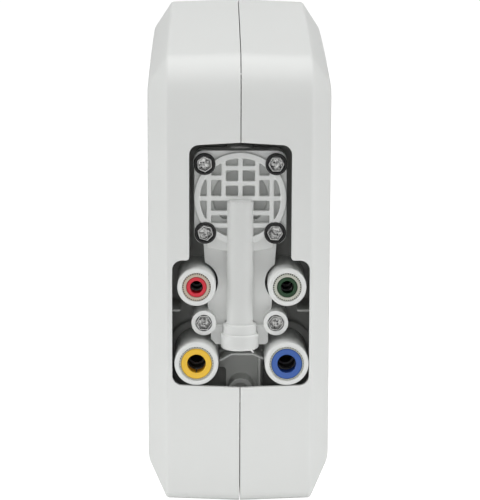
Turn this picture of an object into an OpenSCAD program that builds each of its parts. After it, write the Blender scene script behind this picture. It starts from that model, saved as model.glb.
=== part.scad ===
// Slim reverse osmosis unit: a two-half case with its tube ports and shut-off valve in one narrow end
// and three twist-and-pull cartridges in the other. Z is up and the port end faces -Y.

/* [Case] */
// Width across the flat sides, X
case_w = 97.3; // [96:0.1:102]
// Length from the port end to the cartridge end, Y
case_len = 300; // [296:1:330]
// Height at the crest of the top, Z
case_h = 262.5; // [260:0.5:275]
// Half width of the flat rim panel between the two side bevels
panel_half = 38.3; // [38:0.1:40]
// How far the side bevels run in from the front, the top and the back
bevel_in = 17; // [15:0.5:18]
// How far the side bevels run in from the bottom
bevel_low = 20.5; // [18:0.5:21]
// Wall thickness of the case
wall = 2.6; // [2.2:0.1:2.8]
// Gap between the two case halves
seam = 0.5; // [0.3:0.1:0.8]
// How far the seam sits to the right of the middle
seam_shift = 0.6; // [0:0.1:0.8]
// Radius of the two upper corners in the side view
corner_r = 26; // [22:1:30]
// Radius of the two lower corners in the side view
foot_r = 6; // [4:1:8]

/* [Port opening] */
// Half width of the upper part of the opening
open_up_half = 26.9; // [26.5:0.1:27.2]
// Half width of the lower part of the opening
open_low_half = 36.3; // [36:0.1:36.8]
// Height of the opening's bottom edge at the seam
open_bottom = 62.9; // [62:0.1:64]
// Height of the shoulders between the two parts
open_shoulder = 131.3; // [130:0.1:133]
// Height of the opening's top edge at the seam
open_top = 193.6; // [192:0.1:195]
// Radius of the opening's outer corners
open_r = 5.2; // [4:0.1:6]
// Sideways offset of the opening and of the valve block from the middle
block_shift = 0.5; // [0:0.1:0.8]
// Further sideways offset of the lower part of the opening
low_shift = 0.4; // [0:0.1:0.5]

/* [Valve block] */
// Height of the shut-off valve's axis
valve_z = 163.2; // [163:0.1:164]
// Outer radius of the shut-off valve's grid ring
ring_r = 24.4; // [24:0.1:24.6]
// Half spacing of the upper cap screws, across
upper_screw_x = 18.9; // [18.8:0.1:19]
// Half spacing of the lower cap screws, across
lower_screw_x = 18.4; // [18.3:0.1:18.6]
// Height of the upper cap screws above the valve's axis
upper_screw_up = 18.2; // [18:0.1:18.4]
// Height of the lower cap screws below the valve's axis
lower_screw_down = 18.3; // [18:0.1:18.5]
// Half spacing of the two boss screws
boss_x = 19.2; // [19:0.1:19.4]
// Height of the two boss screws
boss_z = 96; // [95.5:0.1:96.5]
// Radius of the vertical flow tube
flow_r = 7; // [6.8:0.1:7.1]
// Height of the flow tube's top
flow_top = 162.8; // [162:0.1:165]
// Height of the flow tube's lower end, where the collar starts
flow_low = 95.8; // [95:0.1:96.5]

/* [Ports] */
// Half spacing of the two port columns
port_half = 23.95; // [23.8:0.05:24.1]
// Sideways offset of the port columns from the seam
port_shift = 1.4; // [0.8:0.1:1.6]
// Height of the feed and drain ports
small_z = 116.9; // [116.5:0.1:118]
// Height of the tank and faucet ports
large_z = 75.8; // [75.5:0.1:76.5]
// Outer radius of the feed and drain port barrels
small_r = 10.2; // [10:0.1:10.4]
// Outer radius of the tank and faucet port barrels
large_r = 11.7; // [11.5:0.1:11.8]
// Tube radius of the feed and drain ports, a quarter inch across
small_tube_r = 3.175; // [3.175:0.001:3.175]
// Tube radius of the tank and faucet ports, three eighths of an inch across
large_tube_r = 4.7625; // [4.7625:0.0001:4.7625]
// How far a released collet travels inward
collet_travel = 1.2; // [1:0.1:1.4]

/* [Cartridges] */
// Radius of a cartridge shell
cart_r = 29; // [28:0.5:29]
// Height of the lowest cartridge's axis
cart_low = 42; // [41.5:0.1:42.5]
// Vertical spacing of the three cartridges
cart_pitch = 67.5; // [67.3:0.1:67.8]
// Radius of the three holes in the rear of the case
rear_hole_r = 32; // [31.8:0.1:32.2]
// Radius of the rear twist grips
grip_r = 31; // [30.5:0.1:31.3]

/* [Hidden] */
$fn = 64;

front = -case_len / 2;
half_w = case_w / 2;
draft_in = panel_half * tan(2);

// Side outline: corner arc, long shallow top arc and crest arc, each tangent to the next
lean_start = 103;
lean_end = 98;
crest_r = 80;
top_r = (front + corner_r + corner_r * cos(lean_start) - crest_r * cos(lean_end))
    / (cos(lean_start) - cos(lean_end));
top_y = -(top_r - crest_r) * cos(lean_end);
top_z = case_h - crest_r - (top_r - crest_r) * sin(lean_end);
corner_z = top_z + (top_r - corner_r) * sin(lean_start);

// Inner faces of the walls, where the side bevels start and end
inner_break = panel_half - 0.55 * wall;
inner_side = half_w - wall;
inner_bevel_in = bevel_in + 0.3 * wall;
inner_bevel_low = bevel_low + 0.25 * wall;

// Depths behind the front of the case, along Y
cap_face = 8;
cap_lip = 9.6;
cap_floor = 13.5;
cap_back = 19;
disc_depth = 17;
neck_face = 17.4;
seat_face = 39;
plate_face = 44;
manifold_face = 48.2;
spigot_end = 54;
flow_depth = 10.4;
small_face = 1;
large_face = 0.4;

// Heights of the three cartridges, from the bottom
membrane_z = cart_low + cart_pitch;
postfilter_z = cart_low + 2 * cart_pitch;
cart_heights = [cart_low, membrane_z, postfilter_z];
socket_end = -71;
cart_front = -70;
cart_back = 138.8;
cart_bore_r = cart_r - 2.5;
nipple_r = 9;

// Places of the screws that close the case: depth along Y, height
case_screws = [[front + 22, 30], [front + 22, 212], [-50, 230], [50, 230],
    [128, cart_low + cart_pitch / 2], [128, cart_low + cart_pitch * 1.5]];
boss_r = 4.4;
rib_places = [-20, 60];
rib_t = 2;
pad_r = 7;
pad_top = 1.9;
pad_x = 29;
pad_y = 115;

// Sizes of a port: barrel radius, tube radius, ring radius, collet flange radius, depth of the face
small_sizes = [small_r, small_tube_r, 7.5, 5.3, small_face];
large_sizes = [large_r, large_tube_r, 9, 8.1, large_face];
drain_at = [port_shift - port_half, small_z];
feed_at = [port_shift + port_half, small_z];
tank_at = [port_shift - port_half, large_z];
faucet_at = [port_shift + port_half, large_z];
ports = [[drain_at, small_sizes], [feed_at, small_sizes], [tank_at, large_sizes], [faucet_at, large_sizes]];
ring_depth = 7;
sleeve_depth = 11;
seal_depth = 14;
stop_depth = 22;
sleeve_wall = 2.4;
tube_slack = 0.075;

white = [0.80, 0.81, 0.80];
inner_white = [0.78, 0.79, 0.78];
dark = [0.20, 0.20, 0.20];
grey = [0.45, 0.45, 0.45];
rubber = [0.06, 0.06, 0.06];

// Points of an arc, from step s so that joined arcs share no point
function arc(cx, cy, r, a0, a1, n, s = 0) =
    [for (k = [s:n]) let (a = a0 + (a1 - a0) * k / n) [cx + r * cos(a), cy + r * sin(a)]];

// Side outline of the case moved in by inset, and by low along the bottom
function front_outline(inset, low) = let (rb = max(foot_r - inset, 0.8)) concat(
    arc(front + inset + rb, low + rb, rb, 270, 180, 4),
    arc(front + corner_r, corner_z, corner_r - inset, 180, lean_start, 8),
    arc(top_y, top_z, top_r - inset, lean_start, lean_end, 6, 1),
    arc(0, case_h - crest_r, crest_r - inset, lean_end, 90, 3, 1));
function outline(inset, low) = let (half = front_outline(inset, low), last = len(half) - 1)
    concat(half, [for (k = [last - 1:-1:0]) [-half[k][0], half[k][1]]]);

// Closed outline through corners [x, y, radius], each rounded by its own radius
function along(a, b) = (b - a) / norm(b - a);
function turn(a) = a > 180 ? a - 360 : a < -180 ? a + 360 : a;
function rounded_corner(a, p, b, r) = r == 0 ? [p] : let (
        u = along(p, a), v = along(p, b), half = acos(u * v) / 2,
        c = p + (u + v) / norm(u + v) * r / sin(half),
        s = p + u * r / tan(half) - c, e = p + v * r / tan(half) - c,
        a0 = atan2(s[1], s[0]), da = turn(atan2(e[1], e[0]) - a0))
    [for (k = [0:6]) [c[0] + r * cos(a0 + da * k / 6), c[1] + r * sin(a0 + da * k / 6)]];
function flat(p) = [p[0], p[1]];
function rounded(pts) = let (n = len(pts)) [for (k = [0:n - 1])
    each rounded_corner(flat(pts[(k + n - 1) % n]), flat(pts[k]), flat(pts[(k + 1) % n]), pts[k][2])];
function mirrored(pts) = concat(pts, [for (k = [len(pts) - 1:-1:0]) if (pts[k][0] > 0)
    [-pts[k][0], pts[k][1], pts[k][2]]]);

module slice(x, inset, low) translate([x, 0, 0]) rotate([90, 0, 90])
    linear_extrude(0.01) polygon(outline(inset, low));
module rod_y(r, y0, y1, x = 0, z = 0) translate([x, y0, z]) rotate([-90, 0, 0]) cylinder(r = r, h = y1 - y0);
module pipe_y(r, bore, y0, y1, x = 0, z = 0) difference() {
    rod_y(r, y0, y1, x, z);
    rod_y(bore, y0 - 1, y1 + 1, x, z);
}
module rod_x(r, x0, x1, y, z) translate([x0, y, z]) rotate([0, 90, 0]) cylinder(r = r, h = x1 - x0);
module block(x0, x1, y0, y1, z0, z1) translate([x0, y0, z0]) cube([x1 - x0, y1 - y0, z1 - z0]);
module plate_y(pts, y0, y1) translate([0, y1, 0]) rotate([90, 0, 0]) linear_extrude(y1 - y0) polygon(pts);
module oring_y(radius, section, y, x = 0, z = 0) translate([x, y, z]) rotate([-90, 0, 0])
    rotate_extrude() translate([radius, 0]) circle(r = section, $fn = 24);
module in_block() translate([block_shift, front, 0]) children();
module in_port(p) translate([p[0][0], front, p[0][1]]) children();

// ---- case ----

// edge is where a half ends at the seam, before the left one is mirrored.
left_edge = seam / 2 - seam_shift;
right_edge = seam / 2 + seam_shift;
module case_outside(edge) hull() {
    slice(edge, 0, 0);
    slice(panel_half, draft_in, draft_in);
    slice(half_w - 0.01, bevel_in, bevel_low);
}
module case_inside(edge) hull() {
    slice(edge - 0.5, wall, wall);
    slice(inner_break, wall + draft_in, wall + draft_in);
    slice(inner_side - 0.01, inner_bevel_in, inner_bevel_low);
}
module ribs() difference() {
    for (y = rib_places) block(-1, half_w, y, y + rib_t, 0, case_h);
    for (z = cart_heights) rod_y(cart_r + 0.3, -60, 100, 0, z);
    block(-1, 30, -60, 100, postfilter_z + 32, case_h - 8);
}
function opening_side(s) = [[s * open_low_half + low_shift, open_bottom + 1.3, open_r],
    [s * open_low_half + low_shift, open_shoulder, open_r], [s * open_up_half, open_shoulder, 1.6],
    [s * open_up_half, open_top - 1.6, open_r]];
module port_opening() {
    left = opening_side(-1);
    corners = concat([[0, open_bottom, 0]], opening_side(1), [[0, open_top, 0]],
        [for (k = [3:-1:0]) left[k]]);
    translate([block_shift, 0, 0]) plate_y(rounded(corners), front - 1, front + wall + 4);
}
module rear_and_pad_cuts() {
    for (z = cart_heights) rod_y(rear_hole_r, -front - wall - 4, -front + 1, 0, z);
    for (y = [-pad_y, pad_y]) translate([pad_x, y, -1]) cylinder(r = pad_r, h = pad_top + 1);
}
module left_shell() color(white) mirror([1, 0, 0]) difference() {
    case_outside(left_edge);
    case_inside(left_edge);
    mirror([1, 0, 0]) port_opening();
    rear_and_pad_cuts();
}
module right_shell() color(white) difference() {
    case_outside(right_edge);
    case_inside(right_edge);
    port_opening();
    rear_and_pad_cuts();
    for (p = case_screws) rod_x(3.1, 10, half_w + 1, p[0], p[1]);
}
module cradle(edge) intersection() {
    case_inside(edge);
    block(edge, half_w, -200, 200, 0, case_h);
    union() {
        ribs();
        for (p = case_screws) rod_x(boss_r, -1, half_w - 1, p[0], p[1]);
    }
}
module left_cradle() color(white) mirror([1, 0, 0]) difference() {
    cradle(left_edge);
    for (p = case_screws) rod_x(1.5, -2, 16, p[0], p[1]);
}
module right_cradle() color(white) difference() {
    cradle(right_edge);
    for (p = case_screws) {
        rod_x(1.7, -1, 16, p[0], p[1]);
        rod_x(3.1, 10, half_w + 1, p[0], p[1]);
    }
}
module shell_screws() color([0.6, 0.6, 0.62]) for (p = case_screws) difference() {
    union() {
        rod_x(1.45, -12, 10, p[0], p[1]);
        rod_x(2.9, 10, 12.2, p[0], p[1]);
    }
    for (a = [0, 90]) translate([11, p[0], p[1]]) rotate([a, 0, 0]) block(0, 2, -0.4, 0.4, -1.6, 1.6);
}
module foot_pads() color([0.7, 0.7, 0.7]) for (x = [-pad_x, pad_x], y = [-pad_y, pad_y])
    translate([x, y, 0]) cylinder(r = pad_r, h = pad_top);

// ---- inner frame ----

module chassis() color(dark) translate([0, front, 0]) difference() {
    union() {
        block(-41, 41, plate_face, plate_face + 4, 40, 204);
        for (s = [-1, 1]) {
            block(s * 40.2 - 0.8, s * 40.2 + 0.8, 12, plate_face, 40, 204);
            block(s * 35.2 - 4.2, s * 35.2 + 4.2, 12, plate_face, 101.6, 103);
            rod_x(3, s * 43.2 - 2.7, s * 43.2 + 2.7, 32, 56);
            rod_x(3, s * 43.2 - 2.7, s * 43.2 + 2.7, 32, 190);
        }
        block(-41, 41, 8, plate_face, 202.4, 204);
        block(-41, 41, 12, plate_face, 40, 41.6);
        for (p = [tank_at, faucet_at]) rod_y(16, 39, plate_face, p[0], p[1]);
    }
    for (p = ports) {
        rod_y(p[1][1] + 2.4, 30, 60, p[0][0], p[0][1]);
        rod_y(p[1][0] + 0.15, 30, plate_face, p[0][0], p[0][1]);
    }
    rod_y(8.1, 30, 60, block_shift, valve_z);
    for (s = [-1, 1]) rod_y(2.1, 30, 60, block_shift + s * boss_x, boss_z);
    for (s = [-1, 1]) rod_y(6.8, 30, plate_face, block_shift + s * boss_x, boss_z);
    block(-10.6, 13.8, 30, plate_face, 44, 80);
    for (s = [-1, 1]) rod_x(1.2, s * 44 - 4, s * 44 + 4, 32, 56);
}
module tube_guide() color(grey) translate([0, front, 0]) difference() {
    union() {
        block(-10.4, 13.6, 40.8, plate_face, 46, 75);
        plate_y([[-10.4, 71.6], [-3.5, 75.4], [7.9, 75.4], [13.6, 72.8], [13.6, 74.1], [8.1, 76.6],
            [-3.7, 76.6], [-10.4, 73]], 24, plate_face);
        block(10.8, 12, 25, plate_face, 46, 73.6);
        rod_y(6.8, 26, plate_face, 1.4, 55.4);
    }
    plate_y(rounded([[-11.5, 40, 0], [-6.6, 40, 0], [-6.6, 65.4, 2.1], [-11.5, 65.4, 2.1]]), 20, 60);
    rod_y(4.2, 24, 30, 1.4, 55.4);
}
module manifold() color(inner_white) difference() {
    union() {
        block(-34, 34, front + manifold_face, -90, 22, 198);
        for (z = cart_heights) rod_y(14, -90, socket_end, 0, z);
    }
    for (z = cart_heights) {
        rod_y(nipple_r + 0.15, -85, socket_end + 1, 0, z);
        rod_y(3, -95, -84, 0, z);
    }
    for (p = ports) rod_y(p[1][1] + 2.4, front + 40, front + spigot_end, p[0][0], p[0][1]);
    rod_y(8.1, front + 40, front + spigot_end, block_shift, valve_z);
    for (s = [-1, 1]) rod_y(1.95, front + 40, front + spigot_end, block_shift + s * boss_x, boss_z);
    for (x = [drain_at[0], feed_at[0]]) translate([x, -95, 70]) cylinder(r = 2, h = 60);
    translate([0, -95, 30]) cylinder(r = 2, h = 150);
}

// ---- shut-off valve and flow tube ----

cap_screw_places = [[-upper_screw_x, valve_z + upper_screw_up], [upper_screw_x, valve_z + upper_screw_up],
    [-lower_screw_x, valve_z - lower_screw_down], [lower_screw_x, valve_z - lower_screw_down]];
flange_top = valve_z + 25.3;
flange_low = valve_z - 24.3;
function flange_outline() = rounded(mirrored([[0, flange_low - 4.2, 0], [9, flange_low - 3.8, 0],
    [17.6, flange_low - 2.3, 0.6], [17.6, flange_low, 0], [ring_r, flange_low, 5.4],
    [ring_r, flange_top, 5.2]]));
module flow_bore() translate([0, flow_depth, flow_low - 10]) cylinder(r = 4.6, h = 72);

module valve_body() color(white) in_block() difference() {
    union() {
        plate_y(flange_outline(), cap_back, 25);
        rod_y(24.8, 24, seat_face, 0, valve_z);
        for (p = cap_screw_places) rod_y(4.4, 24, 31, p[0], p[1]);
        plate_y(rounded(mirrored([[0, 88, 0], [14, 88, 2], [17.1, 104, 6], [19.5, flange_low, 0]])),
            neck_face, plate_face);
        plate_y(rounded([[-15.4, 83.4, 2], [15.2, 83.4, 2], [15.2, 93.8, 0], [-15.4, 93.8, 0]]),
            15.4, plate_face);
        for (s = [-1, 1]) rod_y(6.6, 10, plate_face, s * boss_x, boss_z);
        intersection() {
            rod_y(26, 22, seat_face, 0, valve_z);
            block(-7, 7, 20, seat_face, valve_z + 15, valve_z + 28);
        }
    }
    block(-30, 30, seat_face, 60, valve_z - 26, valve_z + 30);
    rod_y(22, cap_back - 1, 20.2, 0, valve_z);
    rod_y(18, 20, 26, 0, valve_z);
    rod_y(8, 25, 60, 0, valve_z);
    rod_y(10, 38, 60, 0, valve_z);
    for (p = cap_screw_places) rod_y(1.95, cap_back - 1, 30, p[0], p[1]);
    for (s = [-1, 1]) {
        rod_y(4.45, 9, 13.5, s * boss_x, boss_z);
        rod_y(2.1, 9, 60, s * boss_x, boss_z);
    }
    for (p = ports) rod_y(p[1][0] + 1.2, 0, 60, p[0][0] - block_shift, p[0][1]);
    translate([0, flow_depth, 80]) cylinder(r = 10.4, h = flow_low - 80 + 0.2);
    translate([0, flow_depth, 90]) cylinder(r = flow_r + 0.1, h = 60);
    block(-30, 30, 30, 60, 80, 92);
    plate_y(flange_outline(), cap_floor, cap_back);
}
module shutoff_seat() color(inner_white) in_block() difference() {
    union() {
        rod_y(24.8, seat_face, plate_face, 0, valve_z);
        rod_y(8, plate_face, spigot_end - 0.2, 0, valve_z);
    }
    block(-30, 30, seat_face - 1, 60, flange_low - 10, flange_low);
    rod_y(2.2, seat_face - 1, spigot_end + 1, 0, valve_z);
    pipe_y(9, 5, seat_face - 1, seat_face + 1.5, 0, valve_z);
}
module grid_bars() {
    bar = 1.2;
    for (x = [-16.6, 16.6]) block(x - bar, x + bar, cap_face, cap_floor, -15, 14);
    for (x = [-8.85, 0, 8.85]) block(x - bar, x + bar, cap_face, cap_floor, 0, 23);
    for (z = [16.1, 8]) block(-8.85, 8.85, cap_face, cap_floor, z - bar, z + bar);
    for (s = [-1, 1]) block(s * 14.4 - 5.6, s * 14.4 + 5.6, cap_face, cap_floor, 11 - bar, 11 + bar);
    block(-22, 22, cap_face, cap_floor, -bar, bar);
    block(-16.6, 16.6, cap_face, cap_floor, -7.8 - bar, -7.8 + bar);
    block(-16.6, 16.6, cap_face, cap_floor, -14.4 - bar, -14.4 + bar);
}
module grid_cap() color(white) in_block() difference() {
    union() {
        difference() {
            plate_y(flange_outline(), cap_floor, cap_back);
            intersection() {
                rod_y(14.7, cap_floor - 1, disc_depth, 0, valve_z);
                block(-15, 15, cap_floor - 1, disc_depth, valve_z - 11.5, valve_z + 15);
            }
        }
        difference() {
            plate_y(flange_outline(), cap_lip, cap_floor);
            rod_y(ring_r - 1, cap_lip - 1, cap_floor + 1, 0, valve_z);
        }
        pipe_y(ring_r, ring_r - 3.1, cap_face, cap_floor, 0, valve_z);
        intersection() {
            rod_y(ring_r - 1, cap_face, cap_floor, 0, valve_z);
            translate([0, 0.5, valve_z]) grid_bars();
        }
        for (p = cap_screw_places) rod_y(6, 9.4, cap_floor, p[0], p[1]);
        translate([0, flow_depth, flow_low]) cylinder(r = flow_r, h = flow_top - flow_low - 1.6);
        translate([0, flow_depth, flow_top - 1.6]) rotate_extrude() intersection() {
            union() {
                translate([flow_r - 1.6, 0]) circle(r = 1.6, $fn = 24);
                square([flow_r - 1.6, 1.6]);
            }
            square([flow_r, 1.6]);
        }
    }
    flow_bore();
    for (p = cap_screw_places) {
        rod_y(5.5, 8, 10.6, p[0], p[1]);
        rod_y(2.1, 8, cap_back + 1, p[0], p[1]);
    }
    rod_y(17.6, cap_back - 0.8, cap_back + 1, 0, valve_z);
}
module cap_rings() color(rubber) in_block() for (p = cap_screw_places)
    pipe_y(5.45, 4.55, 7.4, 10.6, p[0], p[1]);
module hex_screw(x, z, seat, flange, shank, tip) difference() {
    union() {
        rod_y(flange, seat - 0.7, seat, x, z);
        translate([x, seat - 3.6, z]) rotate([-90, 30, 0]) cylinder(r = 4.1, h = 3, $fn = 6);
        rod_y(shank, seat - 0.5, tip, x, z);
    }
    translate([x, seat - 3.6 - 4.6, z]) sphere(r = 5.6);
}
module cap_screws() color([0.7, 0.7, 0.72]) in_block() for (p = cap_screw_places)
    hex_screw(p[0], p[1], 10.6, 4.5, 1.9, 29.5);
module boss_screws() color([0.7, 0.7, 0.72]) in_block() for (s = [-1, 1])
    hex_screw(s * boss_x, boss_z, 13.5, 4.3, 1.9, spigot_end - 0.5);
module permeate_diaphragm() color(rubber) in_block() difference() {
    rod_y(22, cap_back, 20.2, 0, valve_z);
    pipe_y(17, 15.5, cap_back - 1, cap_back + 0.5, 0, valve_z);
}
module shutoff_piston() color([0.85, 0.85, 0.8]) in_block() {
    rod_y(14, 20.6, 22.2, 0, valve_z);
    rod_y(7.95, 22, 36.6, 0, valve_z);
}
module feed_diaphragm() color(rubber) in_block() rod_y(10, 38, seat_face, 0, valve_z);
module flow_collar() color(white) in_block() translate([0, flow_depth, 90.4]) difference() {
    cylinder(r = 8.8, h = flow_low - 90.4);
    translate([0, 0, -1]) cylinder(r = 4.6, h = 10);
}
module flow_end_cap() color(white) in_block() translate([0, flow_depth, 82.3]) difference() {
    union() {
        cylinder(r = 8.6, h = 8.1);
        translate([0, 0, 1.6]) cylinder(r = 10.1, h = 6.5);
        rotate_extrude() translate([8.5, 1.6]) circle(r = 1.6, $fn = 24);
        cylinder(r = 4.5, h = 21);
    }
    translate([0, 0, 16]) difference() {
        cylinder(r = 6, h = 1.6);
        translate([0, 0, -1]) cylinder(r = 3.3, h = 4);
    }
}
module flow_oring() color(rubber) in_block() translate([0, flow_depth, 99.1]) rotate_extrude()
    translate([3.95, 0]) circle(r = 0.6, $fn = 24);
module flow_screen() color([0.7, 0.7, 0.72]) in_block() translate([0, flow_depth, 103.5]) difference() {
    cylinder(r = 4.5, h = 6);
    translate([0, 0, 0.6]) cylinder(r = 4, h = 6);
    for (x = [-2.4:1.2:2.4], y = [-2.4:1.2:2.4]) translate([x, y, -1]) cylinder(r = 0.35, h = 3);
}
module flow_restrictor() color([0.85, 0.82, 0.7]) in_block() translate([0, flow_depth, 110]) difference() {
    cylinder(r = 4.5, h = 22);
    for (z = [2:2.6:18]) translate([0, 0, z]) difference() {
        cylinder(r = 6, h = 1.2);
        translate([0, 0, -1]) cylinder(r = 3.7, h = 4);
    }
    translate([0, 0, -1]) cylinder(r = 0.6, h = 30);
}
spring_low = 139.6;
spring_top = flow_low + 62;
spring_turns = 6;
module check_poppet() color([0.85, 0.85, 0.8]) in_block() translate([0, flow_depth, 134]) {
    cylinder(r = 3.2, h = 3);
    translate([0, 0, 3]) cylinder(r = 4.4, h = spring_low - 137);
    cylinder(r = 1.9, h = 14);
}
// Compression spring with a round wire, swept ring by ring along its helix
spring_r = 3.2;
wire_r = 0.45;
spring_steps = spring_turns * 16;
function wire_point(k, j) = let (a = k * 22.5, b = j * 60, r = spring_r + wire_r * cos(b),
        rise = (spring_top - spring_low - 2 * wire_r - 0.1) * k / spring_steps)
    [r * cos(a), r * sin(a), spring_low + wire_r + 0.05 + rise + wire_r * sin(b)];
module check_spring() color([0.7, 0.7, 0.72]) in_block() translate([0, flow_depth, 0]) polyhedron(
    points = [for (k = [0:spring_steps], j = [0:5]) wire_point(k, j)],
    faces = concat([[for (j = [0:5]) j]], [[for (j = [5:-1:0]) spring_steps * 6 + j]],
        [for (k = [0:spring_steps - 1], j = [0:5])
            [k * 6 + j, (k + 1) * 6 + j, (k + 1) * 6 + (j + 1) % 6, k * 6 + (j + 1) % 6]]));

// ---- tube ports ----

module port_body(p) in_port(p) {
    barrel = p[1][0];
    tube = p[1][1];
    ring = p[1][2];
    face = p[1][4];
    difference() {
        union() {
            rod_y(barrel - 0.8, face, plate_face);
            rod_y(barrel, face + 0.8, plate_face);
            translate([0, face + 0.8, 0]) rotate([-90, 0, 0]) rotate_extrude()
                translate([barrel - 0.8, 0]) circle(r = 0.8, $fn = 24);
            rod_y(tube + 2.3, plate_face - 1, spigot_end - 0.2);
        }
        rod_y(ring, face - 1, face + ring_depth);
        rod_y(tube + sleeve_wall, face + ring_depth - 1, face + seal_depth);
        rod_y(tube + tube_slack, face + seal_depth - 1, face + stop_depth);
        rod_y(tube - 0.9, face + stop_depth - 1, spigot_end + 1);
    }
}
module port_ring(p) in_port(p) {
    tube = p[1][1];
    face = p[1][4];
    difference() {
        union() {
            rod_y(p[1][2], face, face + ring_depth);
            rod_y(tube + sleeve_wall, face + ring_depth - 1, face + sleeve_depth);
        }
        rod_y(p[1][3] + 0.15, face - 1, face + 3.4);
        rod_y(tube + 1.05, face + 3, face + 8);
        rod_y(tube + 1.5, face + 7.6, face + 12);
    }
}
module port_collet(p) in_port(p) {
    tube = p[1][1];
    face = p[1][4];
    difference() {
        union() {
            rod_y(p[1][3], face + 0.4, face + 2);
            rod_y(tube + 0.95, face + 1, face + 9.4);
            rod_y(tube + 1.35, face + 7.8, face + 9.4);
        }
        rod_y(tube + 0.1, face - 1, face + 12);
        for (a = [45, 135]) rotate([0, a, 0]) block(-12, 12, face + 4.4, face + 12, -0.3, 0.3);
    }
}
module drain_port() color(white) port_body(ports[0]);
module feed_port() color(white) port_body(ports[1]);
module tank_port() color(white) port_body(ports[2]);
module faucet_port() color(white) port_body(ports[3]);
module drain_ring() color([0.78, 0.73, 0.66]) port_ring(ports[0]);
module feed_ring() color([0.78, 0.76, 0.72]) port_ring(ports[1]);
module tank_ring() color([0.78, 0.76, 0.72]) port_ring(ports[2]);
module faucet_ring() color([0.78, 0.76, 0.72]) port_ring(ports[3]);
module drain_collet() color([0.82, 0.18, 0.22]) port_collet(ports[0]);
module feed_collet() color([0.12, 0.33, 0.2]) port_collet(ports[1]);
module tank_collet() color([0.91, 0.75, 0.22]) port_collet(ports[2]);
module faucet_collet() color([0.25, 0.41, 0.73]) port_collet(ports[3]);
module port_orings() color(rubber) for (p = ports) in_port(p)
    oring_y(p[1][1] + 1.2, 1.1, p[1][4] + 12.8);
module grab_rings() color([0.7, 0.7, 0.72]) for (p = ports) in_port(p)
    pipe_y(p[1][1] + 2.3, p[1][1] + 0.12, p[1][4] + sleeve_depth, p[1][4] + sleeve_depth + 0.5);

// ---- cartridges ----

module at_cart(z) translate([0, 0, z]) children();
module cart_shell(z) at_cart(z) difference() {
    union() {
        rod_y(cart_r - 2, cart_front, cart_back);
        rod_y(cart_r, cart_front + 2, cart_back);
        rod_y(nipple_r, -84.5, cart_front + 1);
    }
    rod_y(cart_bore_r, cart_front + 3, cart_back + 1);
    rod_y(4, -90, cart_front + 4);
    for (y = [-82, -78]) pipe_y(nipple_r + 1, nipple_r - 1.6, y - 0.9, y + 0.9);
}
module cart_grip(z) at_cart(z) difference() {
    union() {
        rod_y(grip_r, cart_back + 0.2, -front);
        rod_y(cart_bore_r - 0.1, 130, cart_back + 1);
    }
    for (s = [-1, 1]) intersection() {
        rod_y(grip_r - 3, cart_back + 3.2, -front + 1);
        block(s * 18 - 13.5, s * 18 + 13.5, cart_back + 3.2, -front + 1, -30, 30);
    }
}
module cart_orings(z) at_cart(z) for (y = [-82, -78]) oring_y(nipple_r - 0.75, 0.85, y);
module prefilter_shell() color(inner_white) cart_shell(cart_low);
module membrane_shell() color(inner_white) cart_shell(membrane_z);
module postfilter_shell() color(inner_white) cart_shell(postfilter_z);
module prefilter_grip() color(grey) cart_grip(cart_low);
module membrane_grip() color(grey) cart_grip(membrane_z);
module postfilter_grip() color(grey) cart_grip(postfilter_z);
module prefilter_orings() color(rubber) cart_orings(cart_low);
module membrane_orings() color(rubber) cart_orings(membrane_z);
module postfilter_orings() color(rubber) cart_orings(postfilter_z);
module prefilter_block() color([0.15, 0.15, 0.15]) at_cart(cart_low) pipe_y(24, 8.2, -62, 124);
module prefilter_core() color(inner_white) at_cart(cart_low) difference() {
    union() {
        rod_y(8, -66, 124);
        rod_y(26, -66, -62);
        rod_y(26, 124, 128);
    }
    rod_y(6, -70, 124);
    for (y = [-55:15:110], a = [0, 90]) translate([0, y, 0]) rotate([0, a, 0])
        translate([0, 0, -12]) cylinder(r = 1.5, h = 24);
}
module membrane_roll() color([0.85, 0.87, 0.9]) at_cart(membrane_z) pipe_y(24.5, 8.5, -58, 122);
module permeate_tube() color(inner_white) at_cart(membrane_z) difference() {
    rod_y(8.4, -66.5, 126);
    rod_y(6, -70, 124);
    for (y = [-50:20:110]) translate([0, y, -12]) cylinder(r = 1.2, h = 24);
}
module brine_seal() color(rubber) at_cart(membrane_z) difference() {
    pipe_y(26.3, 8.5, -62, -58.1);
    pipe_y(25.6, 24.6, -63, -59.5);
}
module postfilter_block() color([0.12, 0.12, 0.12]) at_cart(postfilter_z) rod_y(26, -64, 126);
module postfilter_screens() color([0.9, 0.9, 0.9]) at_cart(postfilter_z) {
    rod_y(26.2, -66.5, -64);
    rod_y(26.2, 126, 128.5);
}

left_shell();
right_shell();
left_cradle();
right_cradle();
shell_screws();
foot_pads();
chassis();
tube_guide();
manifold();
valve_body();
shutoff_seat();
grid_cap();
cap_rings();
cap_screws();
boss_screws();
permeate_diaphragm();
shutoff_piston();
feed_diaphragm();
flow_collar();
flow_end_cap();
flow_oring();
flow_screen();
flow_restrictor();
check_poppet();
check_spring();
drain_port();
feed_port();
tank_port();
faucet_port();
drain_ring();
feed_ring();
tank_ring();
faucet_ring();
drain_collet();
feed_collet();
tank_collet();
faucet_collet();
port_orings();
grab_rings();
prefilter_shell();
prefilter_grip();
prefilter_block();
prefilter_core();
prefilter_orings();
membrane_shell();
membrane_grip();
membrane_roll();
permeate_tube();
brine_seal();
membrane_orings();
postfilter_shell();
postfilter_grip();
postfilter_block();
postfilter_screens();
postfilter_orings();
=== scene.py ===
from math import acos, atan2, cos, pi, radians, sin, tan

import bmesh
import bpy
from mathutils import Matrix, Vector


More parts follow.
